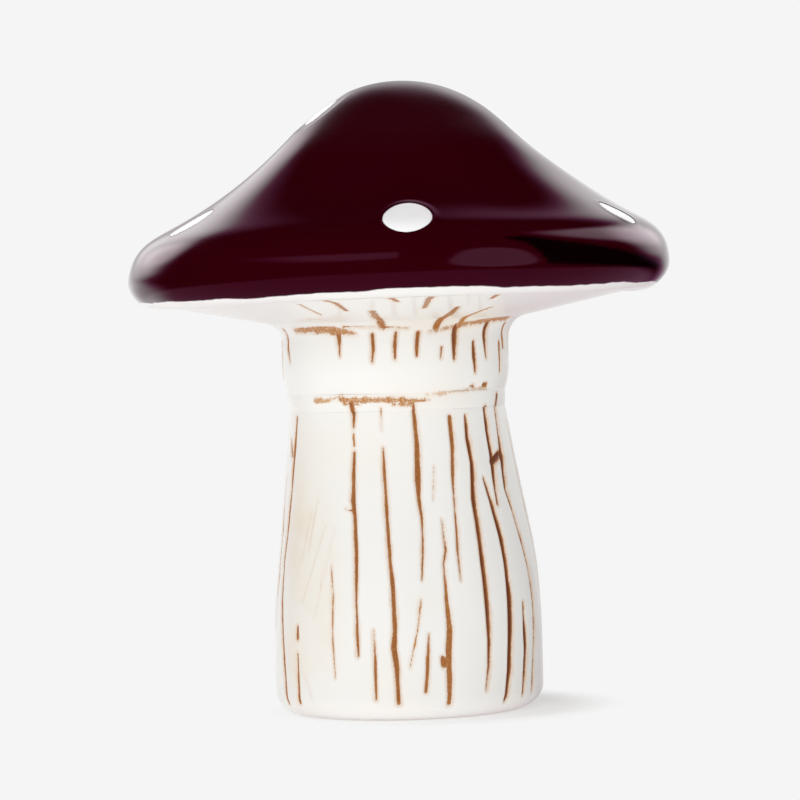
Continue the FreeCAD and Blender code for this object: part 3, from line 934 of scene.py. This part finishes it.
# The skin's slow waves: number round the cap, turn to the millimetre, height, phase, where they start.
skinWaves = (
    (3, 0.13, 0.10, 0.0, (2.0, 20.0)),
    (7, 0.21, 0.06, 1.3, (8.0, 30.0)),
)
spotShape = {
    "egg": 0.10,
    "lip": 0.14,
    "flank": 1.7,
    "proud": 0.06,
    "dome": 0.18,
    "edgeDrop": 0.12,
    # Width in millimetres of the painted shade round each spot's edge.
    "crease": 0.14,
    "pocket": 0.9,
    "under": 0.4,
    "columns": 96,
    "topRows": (12, 8),
    "edge": 0.86,
    "baseRows": 5,
}
# Distance from the axis, azimuth in degrees, half the width, half the length, how far each stands out,
# and the depth of the hollow that it lies in.
spotPlaces = {
    "spot_front": (44.9, 1.4, 4.5, 5.45, 1.0, 0.0),
    "spot_right": (44.9, 64, 3.0, 4.2, 0.35, 0.0),
    "spot_back_right": (44.6, 121, 4.3, 5.3, 0.8, 0.0),
    "spot_back": (44.9, 180, 4.6, 5.7, 1.0, 0.0),
    "spot_back_left": (44.6, -121, 4.4, 5.1, 0.8, 0.0),
    "spot_left": (42.7, -67, 2.8, 4.6, 0.25, 0.0),
    "spot_upper_left": (15.7, -79, 4.0, 4.0, 0.5, 0.4),
    "spot_upper_right": (17.0, 106, 3.6, 4.4, 0.4, 0.0),
}
# Painted shade on the right of the rim, a darker patch of glaze: azimuths in degrees, and its upper and
# lower edge.
rimShadePatch = {
    "azimuths": (22, 26.5, 29.5, 31.5, 44, 62, 73),
    "upper": (89.3, 89.4, 89.2, 88.9, 87.6, 85.3, 83.4),
    "lower": (89.0, 88.2, 86.4, 84.3, 83.7, 83.0, 82.8),
    "soft": 0.35,
}


def crownOutline(step):
    # Inside from the crest down to the lip, then the outside up over roll, shoulder, flare and dome.
    shape = crownShape
    top, reach = crownBox["high"], crownBox["reach"]
    wall = shape["wall"]
    rim = crownBox["low"] + shape["rollRadius"]
    dome = np.array((0, top - shape["domeRadius"]))
    shoulder = np.array((reach - shape["shoulderRadius"], rim))
    roll = np.array((reach - shape["rollRadius"], rim))
    # The flare's centre lies as far from the other two as the radii of touching circles add up to.
    toDome = shape["flareRadius"] + shape["domeRadius"]
    toShoulder = shape["flareRadius"] + shape["shoulderRadius"]
    span = np.hypot(*(shoulder - dome))
    along = (toDome**2 - toShoulder**2 + span**2) / (2 * span)
    across = np.sqrt(toDome**2 - along**2)
    ahead = (shoulder - dome) / span
    flare = dome + along * ahead + across * np.array((-ahead[1], ahead[0]))
    high = atan2(*(flare - dome)[::-1])
    low = atan2(*(flare - shoulder)[::-1])
    inside = joinPath(
        arcPoints(dome, shape["domeRadius"] - wall, pi / 2, high, 3.0),
        arcPoints(flare, shape["flareRadius"] + wall, high + pi, low + pi, 4.0),
        arcPoints(shoulder, shape["shoulderRadius"] - wall, low, 0, 1.5),
        arcPoints(roll, shape["rollRadius"] - wall, 0, -pi / 2, 1.2),
    )
    outside = joinPath(
        linePoints((roll[0], crownBox["low"] + wall), (roll[0], crownBox["low"]), 1.5),
        arcPoints(roll, shape["rollRadius"], -pi / 2, 0, step),
        arcPoints(shoulder, shape["shoulderRadius"], 0, low, step),
        arcPoints(flare, shape["flareRadius"], low + pi, high + pi, step),
        arcPoints(dome, shape["domeRadius"], high, pi / 2, step),
    )
    return inside, outside


def easedOutline(path, step):
    # Flare and shoulder run into each other gently: each point is drawn to the average around it.
    path = evenPath(path, step)
    count = int(3 * crownShape["ease"] / step)
    average = np.column_stack([bellAverage(path[:, side], count) for side in (0, 1)])
    share = smoothStep(*crownShape["easeHeights"], path[:, 1])
    share *= smoothStep(*crownShape["easeReach"], path[:, 0])
    path = path + (average - path) * share[:, None]
    path[:, 1] += crownShape["crestSwell"] * smoothStep(*crownShape["crestReach"], path[:, 0])
    return path


crownInside, crownOutside = crownOutline(0.02)
crownOutside = easedOutline(crownOutside, 0.05)
crownLengths = pathLengths(crownOutside)
risingReach = crownOutside[:, 1] > crownBox["low"] + crownShape["rollRadius"]


def crownPlace(reach):
    # Distance along the outside where the upper part has the given reach. Reach falls as it climbs.
    upper = crownOutside[risingReach]
    return np.interp(-reach, -upper[:, 0], crownLengths[risingReach])


spotRows = {name: crownPlace(reach) for name, (reach, *others) in spotPlaces.items()}
placeGrid = np.linspace(0, crownLengths[-1], 3001)
plainRows = 1 / crownShape["plainRow"]
rowDensity = plainRows + 0 * placeGrid
for centre in set(spotRows.values()):
    near = smoothStep(*crownShape["spotRows"], abs(placeGrid - centre))
    rowDensity = rowDensity + (1 / crownShape["spotRow"] - plainRows) * near
atLip = smoothStep(*crownShape["lipRows"], placeGrid)
rowDensity = rowDensity + (1 / crownShape["lipRow"] - plainRows) * atLip
angleDensity = np.ones_like(fineAngles)
for reach, azimuth, *others in spotPlaces.values():
    gap = abs(wrapAngle(fineAngles - radians(azimuth))) * reach
    near = smoothStep(*crownShape["spotAngles"], gap) * (reach > crownShape["domeReach"])
    angleDensity = angleDensity + crownShape["spotColumns"] * near
crownAngles = crowded(fineAngles, angleDensity, crownShape["columns"], closed=True)
rimLift = softLine(crownShape["rimLift"]["degrees"], crownShape["rimLift"]["lifts"], 9, period=360)


def spotOffset(azimuths, reach, lengths, name):
    # Distance outside a spot's oval edge. The oval is wider below its middle, like an egg.
    middle, azimuth, halfWidth, halfLength, *others = spotPlaces[name]
    across = wrapAngle(azimuths - radians(azimuth)) * reach
    up = lengths - spotRows[name]
    half = halfWidth * (1 - spotShape["egg"] * np.clip(up / halfLength, -1, 1))
    ratio = np.hypot(across / half, up / halfLength) + 1e-6
    slope = np.hypot(across / half**2, up / halfLength**2) / ratio + 1e-6
    return (ratio - 1) / slope


def crownLift(azimuths, height):
    # The uneven rim: lift along z, fading out up the flare.
    low = crownBox["low"]
    return rimLift(np.degrees(wrapAngle(azimuths))) * smoothStep(*crownShape["rimFade"], height - low)


def crownPush(azimuths, reach, lengths):
    # Slow waves in the skin, and a raised lip round each spot with a pocket inside it.
    push = 0.0
    for count, rise, height, phase, start in skinWaves:
        wave = height * np.sin(count * azimuths + phase + lengths * rise)
        push = push + wave * smoothStep(*start, reach)
    nearest = np.full(push.shape, np.inf)
    for name, (*others, stand, dip) in spotPlaces.items():
        away = spotOffset(azimuths, reach, lengths, name)
        rise = stand * spotShape["lip"] * smoothStep(spotShape["flank"], 0.2, away)
        drop = spotShape["pocket"] * smoothStep(0.0, -0.5, away) + dip * smoothStep(3.2, 0.4, away)
        push = push + rise - drop
        nearest = np.minimum(nearest, away)
    return push, nearest


def rimShadeField(azimuths, height):
    # 1 in the patch of painted shade, fading over its soft edge.
    pool = rimShadePatch
    degrees = np.degrees(azimuths)
    above = np.interp(degrees, pool["azimuths"], pool["upper"]) - height
    below = height - np.interp(degrees, pool["azimuths"], pool["lower"])
    ends = np.minimum(degrees - pool["azimuths"][0], pool["azimuths"][-1] - degrees) / 2
    inside = np.minimum(np.minimum(above, below), ends)
    return smoothStep(-pool["soft"], pool["soft"], inside)


def makeCrown():
    count = int(rowDensity.mean() * crownLengths[-1])
    lengths = crowded(placeGrid, rowDensity, count)
    outside = pathAt(crownOutside, lengths)
    path = np.vstack([crownInside, outside])
    azimuths = crownAngles[None, :]
    first = len(crownInside)
    push = np.zeros((len(path), len(crownAngles)))
    crease = np.zeros_like(push)
    pool = np.zeros_like(push)
    push[first:], nearest = crownPush(azimuths, outside[:, :1], lengths[:, None])
    # Painted shade: 1 at each spot's edge and falling off within that width; the glaze darkens it into a
    # dark ring.
    crease[first:] = np.clip(1 - abs(nearest) / spotShape["crease"], -4, 1)
    # The patch of painted shade on the right of the rim.
    pool[first:] = rimShadeField(azimuths, outside[:, 1:])
    x, y, z = turnedGrid(path, crownAngles, push, crownLift(azimuths, path[:, 1:]))
    line = path[:, 1:] - crownShape["paintHeight"] + 0 * azimuths
    fields = {"glazeLine": line, "crease": crease, "pool": pool}
    piece = turnedMesh("cap_crown", x, y, z, poles=(True, True), fields=fields)
    finishPiece(piece, wineMaterial, "wine_glaze", "cap_crown")


def makeSpot(name):
    # A round grid squeezed to the oval: over the top, down the side and back under to the middle.
    middle, azimuth, halfWidth, halfLength, stand, dip = spotPlaces[name]
    shape = spotShape
    turn = np.linspace(-pi, pi, shape["columns"], endpoint=False)[None, :]
    inner, outer = shape["topRows"]
    top = np.concatenate([np.linspace(0, 0.85, inner), np.linspace(0.875, 1, outer)])
    share = np.concatenate([top, [1], np.linspace(1, 0, shape["baseRows"])])[:, None]
    crest = shape["lip"] + shape["proud"] + shape["dome"] * (1 - top**2)
    crest = crest - shape["edgeDrop"] * smoothStep(shape["edge"], 1.0, top) ** 2
    base = np.full(shape["baseRows"], -shape["under"])
    height = np.concatenate([crest * stand, [0], base])[:, None] - dip
    up = share * halfLength * np.cos(turn)
    half = halfWidth * (1 - shape["egg"] * up / halfLength)
    lengths = spotRows[name] + up
    normals = pathNormals(crownOutside, False)
    skin = [np.interp(lengths, crownLengths, crownOutside[:, side]) for side in (0, 1)]
    lean = [np.interp(lengths, crownLengths, normals[:, side]) for side in (0, 1)]
    angle = radians(azimuth) + share * half * np.sin(turn) / skin[0]
    reach = skin[0] + lean[0] * height
    z = skin[1] + lean[1] * height + crownLift(angle, skin[1])
    x, y, z = handShaped(reach * np.sin(angle), -reach * np.cos(angle), z)
    piece = turnedMesh(name, x, y, z, poles=(True, True))
    finishPiece(piece, spotMaterial, "spot_white", name)


makeCrown()
for name in spotPlaces:
    makeSpot(name)
print("crown and spots made")


# Floor, light and surroundings

studio = {
    "paper": 0.913,
    "floorAlbedo": 0.85,
    "floorGlow": 0.40,
    "floorLift": 0.18,
    "floorSize": (-3.0, 3.0, -3.0, 3.0),
    "shadowMiddle": (0.007, 0.0, 0.0),
    "shadowReach": (0.021, 0.036),
    "shadowPale": 0.05,
    "ambientHigh": 0.45,
    "ambientLow": 0.85,
    "ambientRight": 0.72,
    "room": 0.004,
    "haloTint": (1.0, 0.36, 0.76, 1),
    "haloLevels": (0.1, 0.8),
}
# What the glaze mirrors: soft discs of light. Degrees round from the back (positive to the right), up,
# half the width, half the height, turn in degrees, softness of the edge, strength.
panels = (
    (43, 20, 19, 14, 25, 0.40, 1.4),
    (57, 34, 28, 13, 38, 0.40, 1.2),
    (17, 10, 17, 22, 0, 0.45, 0.45),
    (0, 14, 46, 23, 0, 0.45, 0.62),
    (6, 34, 14, 15, 0, 0.50, 0.42),
    (-31, 20, 23, 13, 0, 0.35, 1.2),
    (-39, 23, 13, 11, 0, 0.40, 1.1),
    (-26, -12, 28, 16, 0, 0.50, 0.80),
    (0, -90, 400, 72, 0, 0.06, 0.30),
    (139, 10, 20, 22, 0, 0.08, 0.62),
    (-160, 28, 45, 5, 0, 0.50, 0.50),
)
lamps = (
    ("key", (-0.30, -1.15, 0.32), (0, 0, 0.06), 0.8, 4.3),
    ("top", (-0.1, -0.2, 1.6), (0, 0, 0.06), 1.4, 9.5),
)


def makeFloor():
    left, right, front, back = studio["floorSize"]
    corners = [(left, front, 0), (right, front, 0), (right, back, 0), (left, back, 0)]
    mesh = bpy.data.meshes.new("floor")
    mesh.from_pydata(corners, [], [(0, 1, 2, 3)])
    floor = bpy.data.objects.new("floor", mesh)
    scene.collection.objects.link(floor)
    mesh.materials.append(newGlaze("paper", paperFloor))
    floor.visible_glossy = False


def paperFloor(sheet):
    # Lit paper near the object, where its shadow falls. Further out the camera sees the backdrop's white.
    def grey(level):
        return (level, level, level, 1)

    place = sheet.add("ShaderNodeTexCoord", output=3)
    middle = studio["shadowMiddle"]
    away = sheet.add("ShaderNodeVectorMath", {"operation": "DISTANCE"}, {0: place, 1: middle}, output=1)
    far = away.step(*studio["shadowReach"], studio["shadowPale"], 1.0)
    seen = sheet.add("ShaderNodeLightPath", output=0)
    lit = sheet.add("ShaderNodeBsdfDiffuse", None, {"Color": grey(studio["floorAlbedo"])})
    glow = (1.0 - seen) * studio["floorGlow"] + seen * studio["floorLift"]
    glow = sheet.add("ShaderNodeEmission", None, {"Color": grey(1), "Strength": glow})
    near = sheet.add("ShaderNodeAddShader", None, {0: lit, 1: glow})
    plain = sheet.add("ShaderNodeEmission", None, {"Color": grey(1), "Strength": studio["paper"]})
    return sheet.add("ShaderNodeMixShader", None, {0: far * seen, 1: near, 2: plain})


def areaLamp(name, place, target, size, power):
    data = bpy.data.lights.new(name, "AREA")
    data.shape = "DISK"
    data.size = size
    data.energy = power
    lamp = bpy.data.objects.new(name, data)
    aim = Vector(target) - Vector(place)
    lamp.matrix_world = Matrix.Translation(place) @ aim.to_track_quat("-Z", "Y").to_matrix().to_4x4()
    lamp.visible_glossy = False
    scene.collection.objects.link(lamp)


def paintWorld():
    # The camera sees white. Diffuse light is even. Glossy surfaces see soft discs in a dim room, wine red
    # where they are faint.
    world = bpy.data.worlds.new("studio")
    world.use_nodes = True
    world.cycles.sampling_method = "NONE"
    scene.world = world
    sheet = NodeSheet(world.node_tree)
    seen = sheet.add("ShaderNodeLightPath", output=0)
    mirrored = sheet.add("ShaderNodeLightPath", output=3)
    direction = sheet.add("ShaderNodeTexCoord", output=0)
    parts = [sheet.add("ShaderNodeSeparateXYZ", None, {0: direction}, output=axis) for axis in range(3)]
    around = parts[0].maths("ARCTAN2", parts[0], parts[1])
    up = parts[2].maths("ARCSINE", parts[2])
    room = studio["room"]
    for side, height, halfWide, halfTall, turn, soft, strength in panels:
        across = around - radians(side)
        above = up - radians(height)
        level = across * cos(radians(turn)) + above * sin(radians(turn))
        level = level * (1 / radians(halfWide))
        rise = above * cos(radians(turn)) - across * sin(radians(turn))
        rise = rise * (1 / radians(halfTall))
        away = level.maths("SQRT", level * level + rise * rise)
        room = away.step(1 + soft, 1 - soft) * strength + room
    ambient = parts[2].step(0.0, 0.8, studio["ambientLow"], studio["ambientHigh"])
    ambient = ambient * parts[0].step(-0.3, 1.0, 1.0, studio["ambientRight"])
    tint = sheet.blend(room.step(*studio["haloLevels"]), studio["haloTint"], (1, 1, 1, 1))
    tint = sheet.blend(mirrored, (1, 1, 1, 1), tint)
    level = mirrored * room + (1.0 - mirrored) * ambient
    level = seen * studio["paper"] + (1.0 - seen) * level
    glow = sheet.add("ShaderNodeBackground", None, {"Color": tint, "Strength": level})
    sheet.add("ShaderNodeOutputWorld", None, {"Surface": glow})


makeFloor()
for lamp in lamps:
    areaLamp(*lamp)
paintWorld()
print("studio made")
